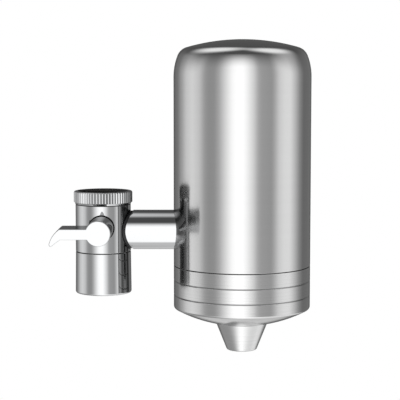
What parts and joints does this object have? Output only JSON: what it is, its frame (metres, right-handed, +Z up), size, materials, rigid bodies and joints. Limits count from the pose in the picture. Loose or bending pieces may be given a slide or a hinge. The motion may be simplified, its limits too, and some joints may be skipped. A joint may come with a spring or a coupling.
{
  "type": "faucet mount water filter",
  "caption": "Tap-mounted water filter: knurled coupling nut over a lever diverter valve, a level connecting tube and a domed steel canister with a screwed base and tapered nozzle.",
  "frame": {"origin": "centre of the coupling nut's top face, on the diverter valve's upright axis", "axes": "+Z up along the tap's outlet, +X from the valve to the canister, -Y towards the lever's front"},
  "size_m": [0.1263, 0.0707, 0.1547],
  "materials": {
    "polished_chrome": "polished",
    "satin_steel": "satin",
    "turned_steel": "fine turned",
    "fastener_steel": "plain",
    "steel_mesh": "woven",
    "brass": "machined",
    "rubber": "matt",
    "white_plastic": "moulded",
    "filter_ceramic": "unglazed",
    "felt": "felted",
    "carbon": "granular"
  },
  "bodies": {
    "housing": {"diverter_body": "polished_chrome", "swivel_bush": "brass", "inlet_washer": "rubber", "inlet_screen": "steel_mesh", "back_cap": "polished_chrome", "tube_gasket": "rubber", "connecting_tube": "polished_chrome", "wall_gasket": "rubber", "locknut": "brass", "housing_shell": "satin_steel", "mouth_ring": "satin_steel"},
    "nut": {"coupling_nut": "polished_chrome"},
    "lever": {"lever": "polished_chrome", "lever_grub_screw": "fastener_steel", "valve_spool": "brass", "spool_front_seal": "rubber", "spool_back_seal": "rubber", "thrust_washer": "brass", "spool_screw": "fastener_steel"},
    "spray": {"spray_insert": "white_plastic", "spray_screen": "steel_mesh", "outlet_washer": "rubber"},
    "sleeve": {"outlet_sleeve": "polished_chrome"},
    "cartridge": {"cartridge_foot": "white_plastic", "cartridge_seal": "rubber", "cartridge_head": "white_plastic", "ceramic_tube": "filter_ceramic", "felt_pad": "felt", "carbon_core": "carbon"},
    "base": {"base_cap": "satin_steel", "base_gasket": "rubber", "outlet_nozzle": "turned_steel", "nozzle_washer": "rubber"}
  },
  "joints": [
    {"name": "nut_spin", "type": "hinge", "parent": "housing", "child": "nut", "pos_m": [0, 0, -0.003], "axis": [0, 0, 1], "continuous": true},
    {"name": "lever_turn", "type": "hinge", "parent": "housing", "child": "lever", "pos_m": [0, -0.0137, -0.01736], "axis": [0, -1, 0], "range_deg": [0, 90]},
    {"name": "sleeve_drop", "type": "slide", "parent": "housing", "child": "spray", "axis": [0, 0, -1], "range_m": [0, 0.005]},
    {"name": "sleeve_turn", "type": "hinge", "parent": "spray", "child": "sleeve", "pos_m": [0, 0, -0.0405], "axis": [0, 0, -1], "range_deg": [0, 1800]},
    {"name": "base_drop", "type": "slide", "parent": "housing", "child": "cartridge", "axis": [0, 0, -1], "range_m": [0, 0.00525]},
    {"name": "base_turn", "type": "hinge", "parent": "cartridge", "child": "base", "pos_m": [0.06913, 0, -0.048], "axis": [0, 0, -1], "range_deg": [0, 1260]}
  ],
  "couplings": [
    {"joint": "sleeve_drop", "follows": "sleeve_turn", "m_per_rad": 0.0001591},
    {"joint": "base_drop", "follows": "base_turn", "m_per_rad": 0.0002387}
  ]
}
